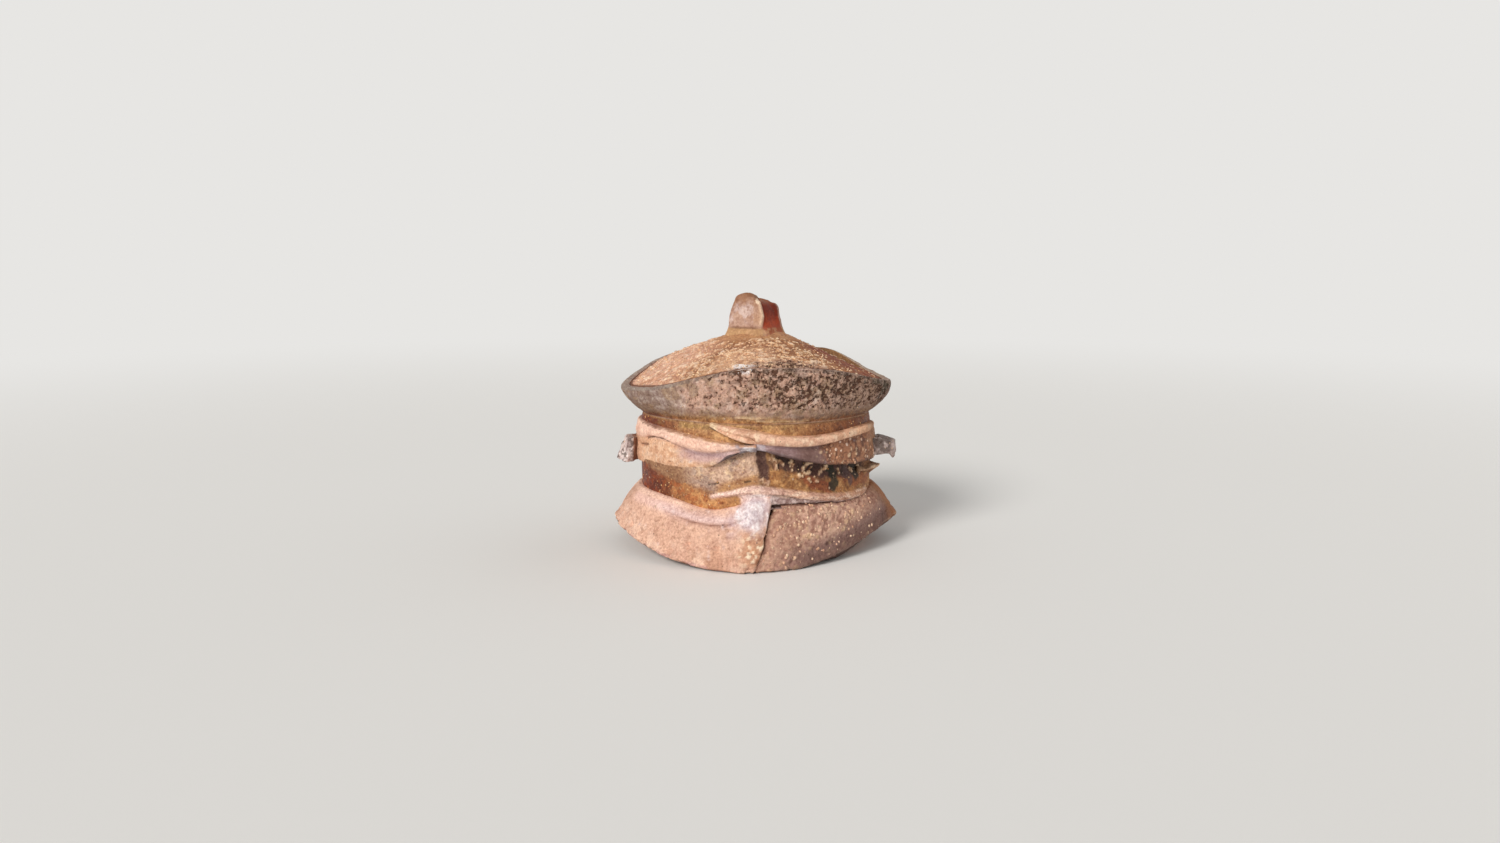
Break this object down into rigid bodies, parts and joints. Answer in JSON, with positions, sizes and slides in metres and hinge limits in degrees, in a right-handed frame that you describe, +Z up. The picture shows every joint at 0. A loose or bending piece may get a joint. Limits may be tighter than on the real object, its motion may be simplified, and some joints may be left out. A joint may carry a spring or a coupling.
{
  "type": "lidded water jar",
  "caption": "Altered stoneware water jar with a flared skirt, pinched waist strips, two lugs, a dipping rim and an inset lid with a faceted knob.",
  "frame": {"origin": "centre of the footprint's bounding box, on the table the jar stands on", "axes": "+Z up, +X to the jar's right from fin to fin, -Y towards the viewer of the picture"},
  "size_m": [0.211, 0.184, 0.1812],
  "materials": {
    "buff_clay": "bare fired stoneware, salmon to buff, with fly ash flecks",
    "ash_brown": "melted natural ash, olive and red brown, glossy in the grooves",
    "grey_ash": "dry grey and mauve ash crust with dark brown pits",
    "pale_lug": "pale grey, dry and matt",
    "flecked_clay": "tan orange with raised cream ash flecks",
    "red_flash": "grey pink to orange red where the flame touched it"
  },
  "bodies": {
    "jar": {"floor_slab": "buff_clay", "jar_wall": "ash_brown", "skirt_front_left": "buff_clay", "skirt_front_right": "buff_clay", "skirt_back_right": "buff_clay", "skirt_back_left": "buff_clay", "waist_strip_left": "buff_clay", "waist_strip_right": "buff_clay", "lug_left": "pale_lug", "lug_right": "pale_lug", "collar": "grey_ash"},
    "lid": {"lid_plate": "flecked_clay", "lid_tenon": "buff_clay", "lid_knob": "red_flash"}
  },
  "joints": [
    {"name": "lid_lift", "type": "slide", "parent": "jar", "child": "lid", "axis": [0, 0, 1], "range_m": [0, 0.12]}
  ]
}
